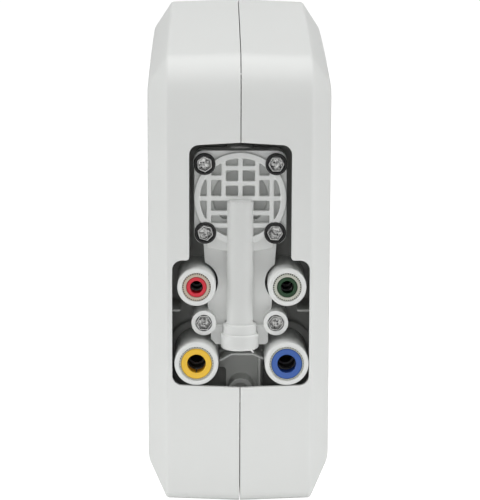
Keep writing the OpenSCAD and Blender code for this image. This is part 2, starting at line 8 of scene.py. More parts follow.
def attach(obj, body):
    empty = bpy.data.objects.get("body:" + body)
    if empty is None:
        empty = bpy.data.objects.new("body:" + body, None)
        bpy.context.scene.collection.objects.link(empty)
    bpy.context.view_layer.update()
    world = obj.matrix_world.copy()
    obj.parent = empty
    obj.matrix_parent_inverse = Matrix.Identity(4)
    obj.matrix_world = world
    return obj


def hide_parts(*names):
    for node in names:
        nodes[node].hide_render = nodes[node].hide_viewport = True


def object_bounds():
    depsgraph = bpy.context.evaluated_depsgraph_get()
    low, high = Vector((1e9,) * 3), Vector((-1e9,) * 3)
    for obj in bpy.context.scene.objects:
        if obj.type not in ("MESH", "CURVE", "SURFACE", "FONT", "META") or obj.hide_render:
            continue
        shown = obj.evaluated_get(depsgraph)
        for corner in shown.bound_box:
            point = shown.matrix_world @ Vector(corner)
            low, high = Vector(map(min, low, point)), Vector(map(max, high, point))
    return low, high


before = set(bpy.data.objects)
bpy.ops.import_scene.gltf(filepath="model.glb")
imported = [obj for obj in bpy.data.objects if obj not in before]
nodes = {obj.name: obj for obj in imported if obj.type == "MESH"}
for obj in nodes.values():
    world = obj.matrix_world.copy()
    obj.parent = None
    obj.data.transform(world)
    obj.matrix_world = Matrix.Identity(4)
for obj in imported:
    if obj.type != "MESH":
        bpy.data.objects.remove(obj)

cad_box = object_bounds()
scene = bpy.context.scene
MM = 0.001

# ---- Camera ----
# A long lens a good metre in front of the port end, a little left of the seam and looking slightly down.
lens_data = bpy.data.cameras.new("camera")
lens_data.lens = 144.0
lens_data.sensor_width = 36.0
camera = bpy.data.objects.new("camera", lens_data)
scene.collection.objects.link(camera)
look_right = Matrix.Rotation(radians(-0.747), 4, "Z")
look_down = Matrix.Rotation(radians(90 - 9.1), 4, "X")
roll = Matrix.Rotation(radians(0.213), 4, "Z")
camera.matrix_world = Matrix.Translation((-0.0132, -1.1865, 0.3031)) @ look_right @ look_down @ roll
scene.camera = camera

# ---- Case halves ----
# Two deep injection-moulded halves of white plastic meet on the seam down the middle. Each has a nearly
# flat rim panel with two degrees of draft, a wide bevel and a flat side, and six screws pull them together.
low, high = cad_box
case_h = high.z
half_w = high.x
front = low.y
panel_half = 38.3 * MM
draft_in = panel_half * tan(radians(2))
bevel_in = 17 * MM
bevel_low = 20.5 * MM
seam = 0.5 * MM
seam_shift = 0.6 * MM
wall = 2.6 * MM
corner_r = 26 * MM
foot_r = 6 * MM
crest_r = 80 * MM
lean_start = radians(103)
lean_end = radians(98)
top_r = (front + corner_r + corner_r * cos(lean_start) - crest_r * cos(lean_end)) / (
    cos(lean_start) - cos(lean_end))
top_y = -(top_r - crest_r) * cos(lean_end)
top_z = case_h - crest_r - (top_r - crest_r) * sin(lean_end)
corner_z = top_z + (top_r - corner_r) * sin(lean_start)


def arc(cx, cy, radius, start, end, steps, skip=0):
    """Points of an arc, leaving out the first ones where it joins another arc."""
    turns = [start + (end - start) * k / steps for k in range(skip, steps + 1)]
    return [(cx + radius * cos(a), cy + radius * sin(a)) for a in turns]


def side_outline(inset):
    """The case's side outline, moved in by inset and by rather more along the bottom."""
    rise = inset + max(inset - draft_in, 0) * (bevel_low - bevel_in) / (bevel_in - draft_in)
    heel = max(foot_r - inset, 1.2 * MM)
    half = arc(front + inset + heel, rise + heel, heel, 1.5 * pi, pi, 8)
    half += arc(front + corner_r, corner_z, corner_r - inset, pi, lean_start, 20)
    half += arc(top_y, top_z, top_r - inset, lean_start, lean_end, 12, 1)
    half += arc(0, case_h - crest_r, crest_r - inset, lean_end, pi / 2, 6, 1)
    return half + [(-y, z) for y, z in reversed(half[:-1])]


def mesh_object(name, bm, smooth_under=32):
    """A finished piece from a bmesh, smooth except where faces meet at more than smooth_under degrees."""
    bmesh.ops.recalc_face_normals(bm, faces=bm.faces)
    mesh = bpy.data.meshes.new(name)
    bm.to_mesh(mesh)
    bm.free()
    for face in mesh.polygons:
        face.use_smooth = True
    mesh.set_sharp_from_angle(angle=radians(smooth_under))
    piece = bpy.data.objects.new(name, mesh)
    scene.collection.objects.link(piece)
    return piece


def settle(piece):
    """Bakes a piece's modifiers into its mesh."""
    bpy.context.view_layer.update()
    done = piece.evaluated_get(bpy.context.evaluated_depsgraph_get())
    mesh = bpy.data.meshes.new_from_object(done)
    piece.modifiers.clear()
    piece.data = mesh
    return piece


def cut(piece, *tools):
    """Takes each tool's volume out of the piece, then throws the tools away."""
    for tool in tools:
        change = piece.modifiers.new("cut", "BOOLEAN")
        change.operation = "DIFFERENCE"
        change.solver = "MANIFOLD"
        change.object = tool
    settle(piece)
    for tool in tools:
        bpy.data.objects.remove(tool)
    return piece


def soft_edges(piece, width, segments=3, over=32):
    """Rounds every edge sharper than over degrees."""
    bevel = piece.modifiers.new("edges", "BEVEL")
    bevel.width = width
    bevel.segments = segments
    bevel.limit_method = "ANGLE"
    bevel.angle_limit = radians(over)
    bevel.harden_normals = True
    bevel.use_clamp_overlap = True
    return settle(piece)


def rod(bm, radius, start, end, axis="Y", segments=64):
    """A closed cylinder between two points that lie along one axis."""
    start, end = Vector(start), Vector(end)
    turn = {"X": Matrix.Rotation(pi / 2, 4, "Y"),
            "Y": Matrix.Rotation(pi / 2, 4, "X"),
            "Z": Matrix.Identity(4)}
    place = Matrix.Translation((start + end) / 2) @ turn[axis]
    return bmesh.ops.create_cone(bm, cap_ends=True, segments=segments, radius1=radius, radius2=radius,
                                 depth=(end - start).length, matrix=place)["verts"]


def plate(bm, corners, y0, y1):
    """An upright plate from corners (x, z, radius), each rounded by its own radius, between two depths."""
    points = []
    for k, (x, z, radius) in enumerate(corners):
        here = Vector((x, z))
        if radius == 0:
            points.append(here)
            continue
        to_last = (Vector(corners[k - 1][:2]) - here).normalized()
        to_next = (Vector(corners[(k + 1) % len(corners)][:2]) - here).normalized()
        half = acos(max(-1, min(1, to_last.dot(to_next)))) / 2
        middle = here + (to_last + to_next).normalized() * radius / sin(half)
        a = here + to_last * radius / tan(half) - middle
        b = here + to_next * radius / tan(half) - middle
        start = atan2(a.y, a.x)
        sweep = (atan2(b.y, b.x) - start + pi) % (2 * pi) - pi
        points += [Vector(p) for p in arc(middle.x, middle.y, radius, start, start + sweep, 10)]
    face = bm.faces.new([bm.verts.new((p.x, y0, p.y)) for p in points])
    pushed = bmesh.ops.extrude_face_region(bm, geom=[face])["geom"]
    far_side = [v for v in pushed if isinstance(v, bmesh.types.BMVert)]
    bmesh.ops.translate(bm, verts=far_side, vec=(0, y1 - y0, 0))
    bmesh.ops.recalc_face_normals(bm, faces=bm.faces)


open_up_half = 26.9 * MM
open_low_half = 36.3 * MM
open_bottom = 62.9 * MM
open_shoulder = 131.3 * MM
open_top = 193.6 * MM
open_r = 5.2 * MM
block_shift = 0.5 * MM
low_shift = 0.4 * MM
cart_heights = {"prefilter": 42 * MM, "membrane": 109.5 * MM, "postfilter": 177 * MM}
rear_hole_r = 32 * MM
case_screw_r = 3.1 * MM
case_screws = [(front + 22 * MM, 30 * MM), (front + 22 * MM, 212 * MM), (-50 * MM, 230 * MM),
               (50 * MM, 230 * MM), (128 * MM, 75.75 * MM), (128 * MM, 143.25 * MM)]


def opening_tool():
    """The T-shaped port opening, a little slanted along its top and bottom by the draft of the halves."""
    right = [(open_low_half, open_bottom + 1.3 * MM, open_r), (open_low_half, open_shoulder, open_r),
             (open_up_half, open_shoulder, 1.6 * MM), (open_up_half, open_top - 1.6 * MM, open_r)]
    left = [(-x, z, r) for x, z, r in reversed(right)]
    right[:2] = [(x + low_shift, z, r) for x, z, r in right[:2]]
    left[2:] = [(x + low_shift, z, r) for x, z, r in left[2:]]
    bm = bmesh.new()
    plate(bm, [(0, open_bottom, 0)] + right + [(0, open_top, 0)] + left, front - MM, front + wall + 5 * MM)
    bmesh.ops.translate(bm, verts=bm.verts, vec=(block_shift, 0, 0))
    return mesh_object("opening_tool", bm)


def rod_tool(radius, start, end, axis="Y"):
    bm = bmesh.new()
    rod(bm, radius, start, end, axis, 96)
    return mesh_object("rod_tool", bm)


def bevel_path(edge, radius_in, radius_out):
    """The half's cross-section as (x, inset): rim panel, rounded bevel edge, bevel, rounded outer edge."""
    bm = bmesh.new()
    spots = [(edge, 0), (panel_half, draft_in), (half_w, bevel_in), (half_w, bevel_in + 8 * MM)]
    chain = [bm.verts.new((x, i, 0)) for x, i in spots]
    for a, b in zip(chain, chain[1:]):
        bm.edges.new((a, b))
    for vert, radius in ((chain[1], radius_in), (chain[2], radius_out)):
        bmesh.ops.bevel(bm, geom=[vert], offset=radius, segments=5, profile=0.5, affect="VERTICES",
                        material=-1)
    path = sorted(((v.co.x, v.co.y) for v in bm.verts), key=lambda p: (round(p[1], 7), p[0]))
    bm.free()
    return path


def case_half(name, side):
    """side is 1 for the half towards +X and -1 for the other."""
    bm = bmesh.new()
    rings = []
    for x, inset in bevel_path(seam / 2 + side * seam_shift, 1.2 * MM, 2.2 * MM)[:-1]:
        verts = [bm.verts.new((x, y, z)) for y, z in side_outline(inset)]
        rings.append([bm.edges.new((a, b)) for a, b in zip(verts, verts[1:] + verts[:1])])
    for a, b in zip(rings, rings[1:]):
        bmesh.ops.bridge_loops(bm, edges=a + b)
    bmesh.ops.edgeloop_fill(bm, edges=rings[-1])
    if side < 0:
        bmesh.ops.scale(bm, verts=bm.verts, vec=(-1, 1, 1))
    piece = mesh_object(name, bm)
    thick = piece.modifiers.new("wall", "SOLIDIFY")
    thick.thickness = wall
    thick.offset = -1
    thick.use_even_offset = True
    thick.use_quality_normals = True
    settle(piece)
    tools = [opening_tool()]
    for z in cart_heights.values():
        tools.append(rod_tool(rear_hole_r, (0, -front - wall - 4 * MM, z), (0, -front + MM, z)))
    if side > 0:
        for y, z in case_screws:
            tools.append(rod_tool(case_screw_r, (half_w - 5 * MM, y, z), (half_w + MM, y, z), "X"))
    cut(piece, *tools)
    soft_edges(piece, 0.45 * MM)
    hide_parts(name.replace("_outer", ""))
    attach(piece, "case")
    return piece


left_half = case_half("left_shell_outer", -1)
right_half = case_half("right_shell_outer", 1)


def finish_piece(piece, slot, body, *replaced):
    """Says which CAD nodes a piece stands for and which body it moves with; slot is not used."""
    if replaced:
        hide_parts(*replaced)
    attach(piece, body)
    return piece


# ---- Moulded plastic ----
# The case is moulded against a finely spark-eroded tool, so it has a soft satin grain; the valve parts come
# from a smoother tool. One group gives the grain, the slow unevenness of the gloss and a faint tint. The
# case also has a shallow sink mark on each side of the opening, where a boss stands behind its panel.
skin = bpy.data.node_groups.new("moulded_skin", "ShaderNodeTree")
for label, kind, default in (("Grain Size", "NodeSocketFloat", 900.0),
                             ("Gloss Low", "NodeSocketFloat", 0.3),
                             ("Gloss High", "NodeSocketFloat", 0.45),
                             ("Tint", "NodeSocketColor", (1, 1, 1, 1)),
                             ("Tint Spread", "NodeSocketFloat", 0.03)):
    socket = skin.interface.new_socket(label, in_out="INPUT", socket_type=kind)
    socket.default_value = default
for label, kind in (("Color", "NodeSocketColor"), ("Roughness", "NodeSocketFloat"),
                    ("Height", "NodeSocketFloat")):
    skin.interface.new_socket(label, in_out="OUTPUT", socket_type=kind)
given = skin.nodes.new("NodeGroupInput")
result = skin.nodes.new("NodeGroupOutput")
where = skin.nodes.new("ShaderNodeTexCoord")
grain = skin.nodes.new("ShaderNodeTexNoise")
grain.inputs["Detail"].default_value = 3
cloud = skin.nodes.new("ShaderNodeTexNoise")
cloud.inputs["Scale"].default_value = 22
cloud.inputs["Detail"].default_value = 4
gloss = skin.nodes.new("ShaderNodeMapRange")
dim = skin.nodes.new("ShaderNodeMath")
dim.operation = "MULTIPLY_ADD"
shade = skin.nodes.new("ShaderNodeVectorMath")
shade.operation = "SCALE"
one_less = skin.nodes.new("ShaderNodeMath")
one_less.operation = "SUBTRACT"
one_less.inputs[0].default_value = 1
skin.links.new(where.outputs["Object"], grain.inputs["Vector"])
skin.links.new(where.outputs["Object"], cloud.inputs["Vector"])
skin.links.new(given.outputs["Grain Size"], grain.inputs["Scale"])
skin.links.new(cloud.outputs["Fac"], gloss.inputs["Value"])
skin.links.new(given.outputs["Gloss Low"], gloss.inputs["To Min"])
skin.links.new(given.outputs["Gloss High"], gloss.inputs["To Max"])
skin.links.new(given.outputs["Tint Spread"], one_less.inputs[1])
skin.links.new(cloud.outputs["Fac"], dim.inputs[0])
skin.links.new(given.outputs["Tint Spread"], dim.inputs[1])
skin.links.new(one_less.outputs[0], dim.inputs[2])
skin.links.new(given.outputs["Tint"], shade.inputs[0])
skin.links.new(dim.outputs[0], shade.inputs["Scale"])
skin.links.new(shade.outputs[0], result.inputs["Color"])
skin.links.new(gloss.outputs["Result"], result.inputs["Roughness"])
skin.links.new(grain.outputs["Fac"], result.inputs["Height"])


def plastic(name, tint, gloss_low, gloss_high, grain_size, depth, spread):
    """A moulded plastic of one colour, with its own gloss and depth of grain."""
    paint = bpy.data.materials.new(name)
    paint.use_nodes = True
    tree = paint.node_tree
    body = tree.nodes["Principled BSDF"]
    surface = tree.nodes.new("ShaderNodeGroup")
    surface.node_tree = skin
    surface.inputs["Tint"].default_value = (*tint, 1)
    surface.inputs["Gloss Low"].default_value = gloss_low
    surface.inputs["Gloss High"].default_value = gloss_high
    surface.inputs["Grain Size"].default_value = grain_size
    surface.inputs["Tint Spread"].default_value = spread
    bump = tree.nodes.new("ShaderNodeBump")
    bump.inputs["Strength"].default_value = 0.35
    bump.inputs["Distance"].default_value = depth * MM
    tree.links.new(surface.outputs["Color"], body.inputs["Base Color"])
    tree.links.new(surface.outputs["Roughness"], body.inputs["Roughness"])
    tree.links.new(surface.outputs["Height"], bump.inputs["Height"])
    tree.links.new(bump.outputs["Normal"], body.inputs["Normal"])
    return paint


def paint_all(piece, paint):
    """Puts one material on the whole piece."""
    piece.data.materials.clear()
    piece.data.materials.append(paint)


def repaint(paint, *names):
    """Gives CAD nodes their finish."""
    for name in names:
        for k in range(len(nodes[name].data.materials)):
            nodes[name].data.materials[k] = paint


case_plastic = plastic("case_plastic", (0.735, 0.747, 0.732), 0.36, 0.5, 1400, 0.03, 0.02)
sink_x = 32.4 * MM
sink_z = 144 * MM
case_tree = case_plastic.node_tree
case_bump = next(n for n in case_tree.nodes if n.type == "BUMP")
case_grain = case_bump.inputs["Height"].links[0].from_socket
case_where = case_tree.nodes.new("ShaderNodeTexCoord")
case_fold = case_tree.nodes.new("ShaderNodeVectorMath")
case_fold.operation = "ABSOLUTE"
case_from = case_tree.nodes.new("ShaderNodeVectorMath")
case_from.operation = "DISTANCE"
case_from.inputs[1].default_value = (sink_x, -front, sink_z)
case_sink = case_tree.nodes.new("ShaderNodeMapRange")
case_sink.interpolation_type = "SMOOTHSTEP"
case_sink.inputs["From Min"].default_value = 0.6 * MM
case_sink.inputs["From Max"].default_value = 3.2 * MM
case_sink.inputs["To Min"].default_value = -6
case_sum = case_tree.nodes.new("ShaderNodeMath")
case_sum.operation = "ADD"
case_tree.links.new(case_where.outputs["Object"], case_fold.inputs[0])
case_tree.links.new(case_fold.outputs["Vector"], case_from.inputs[0])
case_tree.links.new(case_from.outputs["Value"], case_sink.inputs["Value"])
case_tree.links.new(case_sink.outputs["Result"], case_sum.inputs[0])
case_tree.links.new(case_grain, case_sum.inputs[1])
case_tree.links.new(case_sum.outputs[0], case_bump.inputs["Height"])
for half in (left_half, right_half):
    paint_all(half, case_plastic)
repaint(case_plastic, "left_cradle", "right_cradle")

# ---- Dark frame and grey tube guide ----
# A dark moulded tray stands behind the port end and closes the view into the case. In the bottom of it a
# grey guide with a roof-shaped rib, an upright rib and a round boss leads the tubes.


def softened(node, voxel, rounds, name, *left_out):
    """A moulded piece with small natural radii: remeshed evenly, smoothed a little and thinned out."""
    bm = bmesh.new()
    bm.from_mesh(nodes[node].data)
    bmesh.ops.remove_doubles(bm, verts=bm.verts, dist=0.004 * MM)
    mesh = bpy.data.meshes.new(name)
    bm.to_mesh(mesh)
    bm.free()
    piece = bpy.data.objects.new(name, mesh)
    scene.collection.objects.link(piece)
    if left_out:
        cut(piece, *left_out)
    remesh = piece.modifiers.new("even", "REMESH")
    remesh.mode = "VOXEL"
    remesh.voxel_size = voxel
    remesh.use_smooth_shade = True
    relax = piece.modifiers.new("radii", "SMOOTH")
    relax.factor = 0.5
    relax.iterations = rounds
    lighter = piece.modifiers.new("lighter", "DECIMATE")
    lighter.ratio = 0.42
    settle(piece)
    for face in piece.data.polygons:
        face.use_smooth = True
    return piece


frame_plastic = plastic("frame_plastic", (0.37, 0.376, 0.364), 0.45, 0.6, 1200, 0.04, 0.15)
guide_plastic = plastic("guide_plastic", (0.86, 0.875, 0.85), 0.45, 0.6, 1200, 0.04, 0.1)
frame_tray = softened("chassis", 0.7 * MM, 2, "frame_tray")
paint_all(frame_tray, frame_plastic)
finish_piece(frame_tray, "frame_dark", "case", "chassis")
tube_guide = softened("tube_guide", 0.3 * MM, 3, "tube_guide_ribs")
paint_all(tube_guide, guide_plastic)
finish_piece(tube_guide, "guide_grey", "case", "tube_guide")

# ---- Shut-off valve ----
# A white moulded body closed by a round ribbed cap, which is one moulding with the upright flow tube. The
# flow tube ends in a collar and a welded end cap with a small gate mark. Its thick plastic lets a little
# light through, and its colour is painted lighter towards its edges, a painted highlight, so its sides look
# as light as its middle.
valve_plastic = plastic("valve_plastic", (0.745, 0.757, 0.742), 0.3, 0.42, 700, 0.015, 0.03)
# The valve body's plastic is the valve plastic painted lighter (0.9 against 0.745): painted light that
# brightens its neck, which sits in shade behind the flow tube and ports.
block_plastic_painted_light = plastic("block_plastic_painted_light", (0.9, 0.91, 0.895), 0.3, 0.42, 700, 0.015, 0.03)
bm = bmesh.new()
bm.from_mesh(nodes["valve_body"].data)
bmesh.ops.remove_doubles(bm, verts=bm.verts, dist=0.004 * MM)
bmesh.ops.dissolve_limit(bm, angle_limit=radians(1), verts=bm.verts, edges=bm.edges)
valve_block = soft_edges(mesh_object("valve_block", bm), 0.5 * MM, 2, 40)
paint_all(valve_block, block_plastic_painted_light)
finish_piece(valve_block, "valve_white", "case", "valve_body")


def turned(name, profile, place, axis="Y", steps=96):
    """Spins a closed profile of (radius, distance) about an axis through place."""
    bm = bmesh.new()
    if axis == "Y":
        spots = [Vector((r, d, 0)) for r, d in profile]
    else:
        spots = [Vector((r, 0, d)) for r, d in profile]
    verts = [bm.verts.new(p) for p in spots]
    ring = [bm.edges.new((a, b)) for a, b in zip(verts, verts[1:] + verts[:1])]
    line = Vector((0, 1, 0)) if axis == "Y" else Vector((0, 0, 1))
    bmesh.ops.spin(bm, geom=verts + ring, cent=(0, 0, 0), axis=line, angle=2 * pi, steps=steps,
                   use_merge=True, use_duplicate=False)
    bmesh.ops.remove_doubles(bm, verts=bm.verts, dist=0.001 * MM)
    bmesh.ops.translate(bm, verts=bm.verts, vec=place)
    return mesh_object(name, bm)


flow_x = block_shift
flow_y = front + 10.4 * MM
flow_foot = 88 * MM
flow_top = 162.8 * MM
flow_r = 7.03 * MM
overlap = 0.3 * MM
tube_room = rod_tool(flow_r - overlap, (flow_x, flow_y, flow_foot), (flow_x, flow_y, flow_top - 0.4 * MM),
                     "Z")
cap = softened("grid_cap", 0.3 * MM, 2, "ribbed_cap", tube_room)
paint_all(cap, valve_plastic)
finish_piece(cap, "valve_white", "case", "grid_cap")
end_cap_steps = [(0.05, 82.3), (8.3, 82.3), (9.0, 82.45), (9.6, 82.85), (9.95, 83.4), (10.1, 84.1),
                 (10.1, 89.7), (10.0, 90.1), (9.7, 90.4), (9.2, 90.5)]
collar_steps = [(8.95, 90.65), (8.8, 91.0), (8.8, 95.0), (8.7, 95.4), (8.4, 95.7), (7.8, 95.8), (7.4, 95.95),
                (7.15, 96.3)]
tube_steps = [(7.03, 96.9), (7.03, 160.8), (6.88, 161.6), (6.43, 162.23), (5.8, 162.65), (5.03, 162.8),
              (0.05, 162.8)]
flow_steps = [(r * MM, z * MM) for r, z in end_cap_steps + collar_steps + tube_steps]
flow_tube = turned("flow_tube", flow_steps, (flow_x, flow_y, 0), "Z")
flow_plastic = plastic("flow_plastic", (0.79, 0.802, 0.787), 0.45, 0.55, 700, 0.015, 0.03)
flow_body = flow_plastic.node_tree.nodes["Principled BSDF"]
flow_body.inputs["Subsurface Weight"].default_value = 0.6
flow_body.inputs["Subsurface Scale"].default_value = 3 * MM
flow_body.inputs["Subsurface Radius"].default_value = (1, 1, 1)
flow_tree = flow_plastic.node_tree
flow_tint = flow_body.inputs["Base Color"].links[0].from_socket
# The tube's colour is scaled from 0.86 face-on up to 1.22 at its edges: a painted highlight that lightens
# its sides.
flow_edge_weight = flow_tree.nodes.new("ShaderNodeLayerWeight")
flow_edge_weight.inputs["Blend"].default_value = 0.5
flow_painted_edge_light_scale = flow_tree.nodes.new("ShaderNodeMapRange")
flow_painted_edge_light_scale.inputs["To Min"].default_value = 0.86
flow_painted_edge_light_scale.inputs["To Max"].default_value = 1.22
flow_painted_edge_light = flow_tree.nodes.new("ShaderNodeVectorMath")
flow_painted_edge_light.operation = "SCALE"
flow_tree.links.new(flow_edge_weight.outputs["Facing"], flow_painted_edge_light_scale.inputs["Value"])
flow_tree.links.new(flow_tint, flow_painted_edge_light.inputs[0])
flow_tree.links.new(flow_painted_edge_light_scale.outputs["Result"], flow_painted_edge_light.inputs["Scale"])
flow_tree.links.new(flow_painted_edge_light.outputs["Vector"], flow_body.inputs["Base Color"])
paint_all(flow_tube, flow_plastic)
finish_piece(flow_tube, "valve_white", "case", "flow_collar", "flow_end_cap")
bm = bmesh.new()
ridge_y = front + 15.5 * MM
ridge_z = 93.7 * MM
rod(bm, 0.55 * MM, (flow_x - 15 * MM, ridge_y, ridge_z), (flow_x + 14.8 * MM, ridge_y, ridge_z), "X", 24)
neck_ridge = mesh_object("neck_ridge", bm)
paint_all(neck_ridge, block_plastic_painted_light)
finish_piece(neck_ridge, "valve_white", "case")
bm = bmesh.new()
bmesh.ops.create_cone(bm, cap_ends=True, segments=12, radius1=0.35 * MM, radius2=0.8 * MM, depth=2.2 * MM,
                      matrix=Matrix.Translation((flow_x + 6.6 * MM, flow_y - 6 * MM, 82 * MM))
                      @ Matrix.Rotation(radians(-35), 4, "Y"))
gate_mark = mesh_object("gate_mark", bm)
paint_all(gate_mark, valve_plastic)
finish_piece(gate_mark, "valve_white", "case")

# ---- Screws and their rings ----
# Zinc-plated hex screws with a forged dish in the head. The dish, its rim and the flange are painted in
# darker
# steel than the hexagon: a painted reflection of darker surroundings. The four in the cap sit in black
# rubber rings, the two in the bosses in plain round recesses.


def plated(name, dark, light, rough):
    """Bright plated steel, patchy where the forging is rough."""
    paint = bpy.data.materials.new(name)
    paint.use_nodes = True
    tree = paint.node_tree
    body = tree.nodes["Principled BSDF"]
    body.inputs["Metallic"].default_value = 1.0
    where = tree.nodes.new("ShaderNodeTexCoord")
    patches = tree.nodes.new("ShaderNodeTexNoise")
    patches.inputs["Scale"].default_value = 850
    patches.inputs["Detail"].default_value = 3
    patches.inputs["Distortion"].default_value = 0.6
    shades = tree.nodes.new("ShaderNodeValToRGB")
    shades.color_ramp.elements[0].position = 0.38
    shades.color_ramp.elements[0].color = (dark, dark, dark, 1)
    shades.color_ramp.elements[1].position = 0.62
    shades.color_ramp.elements[1].color = (light, light, light * 0.98, 1)
    gloss = tree.nodes.new("ShaderNodeMapRange")
    gloss.inputs["To Min"].default_value = rough
    gloss.inputs["To Max"].default_value = rough + 0.2
    bump = tree.nodes.new("ShaderNodeBump")
    bump.inputs["Strength"].default_value = 0.5
    bump.inputs["Distance"].default_value = 0.25 * MM
    tree.links.new(where.outputs["Object"], patches.inputs["Vector"])
    tree.links.new(patches.outputs["Fac"], shades.inputs["Fac"])
    tree.links.new(patches.outputs["Fac"], gloss.inputs["Value"])
    tree.links.new(patches.outputs["Fac"], bump.inputs["Height"])
    tree.links.new(shades.outputs["Color"], body.inputs["Base Color"])
    tree.links.new(gloss.outputs["Result"], body.inputs["Roughness"])
    tree.links.new(bump.outputs["Normal"], body.inputs["Normal"])
    return paint


# The dish and seat steels are darker copies of the bright steel: painted reflection, standing in for darker
# surroundings mirrored in the screw heads.
steel = plated("bright_steel", 0.45, 0.72, 0.25)
steel_dish_painted_reflection = plated("dish_steel_dark_reflection", 0.09, 0.62, 0.2)
steel_seat_painted_reflection = plated("seat_steel_dark_reflection", 0.1, 0.3, 0.35)
black_rubber = plastic("black_rubber", (0.012, 0.012, 0.012), 0.4, 0.6, 1500, 0.03, 0.2)


def hex_screw(bm, x, y, z, seat_r, hex_r, turn):
    """One screw head on its seat at y: a flange, a bright hexagon and a dish with a rim; flange, rim and
    dish take darker steels, a painted reflection.
    """
    for vert in rod(bm, seat_r, (x, y - 0.8 * MM, z), (x, y, z)):
        for face in vert.link_faces:
            face.material_index = 2
    rod(bm, 1.9 * MM, (x, y - 0.4 * MM, z), (x, y + 3 * MM, z), segments=24)
    face_out = Matrix.Rotation(pi / 2, 4, "X") @ Matrix.Rotation(turn, 4, "Z")
    stand = Matrix.Translation((x, y - 3.6 * MM, z)) @ face_out
    corners = bmesh.ops.create_circle(bm, cap_ends=True, segments=6, radius=hex_r, matrix=stand)["verts"]
    top = corners[0].link_faces[0]
    sides = [e for e in top.edges]
    pulled = bmesh.ops.extrude_edge_only(bm, edges=sides)["geom"]
    skirt = [v for v in pulled if isinstance(v, bmesh.types.BMVert)]
    bmesh.ops.translate(bm, verts=skirt, vec=(0, 3 * MM, 0))
    outward = 1 if top.normal.y < 0 else -1
    bmesh.ops.inset_region(bm, faces=[top], thickness=0.55 * MM, depth=0)
    top.material_index = 1
    for shrink, sink, finish in ((0.3, 0.9, 2), (1.1, 0.5, 1)):
        made = bmesh.ops.inset_region(bm, faces=[top], thickness=shrink * MM,
                                      depth=-outward * sink * MM)["faces"]
        for face in made:
            face.material_index = finish


cap_screws = [(-18.9, 181.4, 0.1), (18.9, 181.4, 0.55), (-18.4, 144.9, 0.25), (18.4, 144.9, 0.45)]
boss_screws = [(-19.2, 96, 0.5), (19.2, 96, 0.35)]
for name, spots, seat, seat_r, hex_r, node in (
        ("cap_screw_heads", cap_screws, 10.6, 4.3, 4.2, "cap_screws"),
        ("boss_screw_heads", boss_screws, 13.5, 3.9, 4.3, "boss_screws")):
    bm = bmesh.new()
    for x, z, turn in spots:
        hex_screw(bm, block_shift + x * MM, front + seat * MM, z * MM, seat_r * MM, hex_r * MM, turn)
    heads = soft_edges(mesh_object(name, bm), 0.14 * MM, 2, 25)
    for paint in (steel, steel_dish_painted_reflection, steel_seat_painted_reflection):
        heads.data.materials.append(paint)
    finish_piece(heads, "steel", "case", node)

rings = []
for x, z, _ in cap_screws:
    rings.append(turned("screw_ring", [(4.2 * MM, front + 8.3 * MM), (4.5 * MM, front + 7.6 * MM),
                                       (5.1 * MM, front + 7.25 * MM), (5.6 * MM, front + 7.5 * MM),
                                       (5.8 * MM, front + 8.1 * MM), (5.8 * MM, front + 10.6 * MM),
                                       (4.2 * MM, front + 10.6 * MM)], (block_shift + x * MM, 0, z * MM)))
bm = bmesh.new()
for ring in rings:
    bm.from_mesh(ring.data)
    bpy.data.objects.remove(ring)
screw_rings = mesh_object("screw_rings", bm, 60)
paint_all(screw_rings, black_rubber)
finish_piece(screw_rings, "black_rubber", "case", "cap_rings")

# ---- Tube ports ----
# Four push-fit ports. Each is a white barrel with a pressed-in ring, notched round its rim, and a coloured
# collet that lets the tube go when it is pushed in. Feed and drain take the small tube, the others the
# large. A size holds the radii of barrel, tube, ring and flange, the set-back and the depth of a notch.
port_half = 23.95 * MM
port_shift = 1.4 * MM
small_port = (10.2 * MM, 3.175 * MM, 7.5 * MM, 5.3 * MM, 1.0 * MM, 0.75 * MM)
large_port = (11.7 * MM, 4.7625 * MM, 9.0 * MM, 8.1 * MM, 0.4 * MM, 0.4 * MM)
port_kinds = {
    "drain": (-1, 116.9 * MM, small_port),
    "feed": (1, 116.9 * MM, small_port),
    "tank": (-1, 75.8 * MM, large_port),
    "faucet": (1, 75.8 * MM, large_port),
}
ring_beige = plastic("ring_beige", (0.54, 0.45, 0.36), 0.35, 0.5, 900, 0.02, 0.1)
ring_grey = plastic("ring_grey", (0.52, 0.53, 0.46), 0.35, 0.5, 900, 0.02, 0.1)
collet_paints = {
    "drain": plastic("collet_red", (0.66, 0.02, 0.042), 0.25, 0.35, 600, 0.01, 0.08),
    "feed": plastic("collet_green", (0.004, 0.045, 0.010), 0.25, 0.35, 600, 0.01, 0.08),
    "tank": plastic("collet_yellow", (0.86, 0.53, 0.036), 0.25, 0.35, 600, 0.01, 0.08),
    "faucet": plastic("collet_blue", (0.036, 0.11, 0.4), 0.25, 0.35, 600, 0.01, 0.08),
}
slots = {"drain": "collet_red", "feed": "collet_green", "tank": "collet_yellow", "faucet": "collet_blue"}
notch_dark = plastic("notch_shadow", (0.05, 0.045, 0.04), 0.5, 0.6, 900, 0.02, 0.1)
# The bore walls of each barrel, up to 40 mm in, are coloured dark grey: painted shade for the dark inside of
# the port.
bore_painted_shade = plastic("bore_shade_paint", (0.09, 0.085, 0.085), 0.45, 0.6, 900, 0.02, 0.2)
slit_turns = {"drain": 45, "feed": 45, "tank": 0, "faucet": 35}
notches = 38
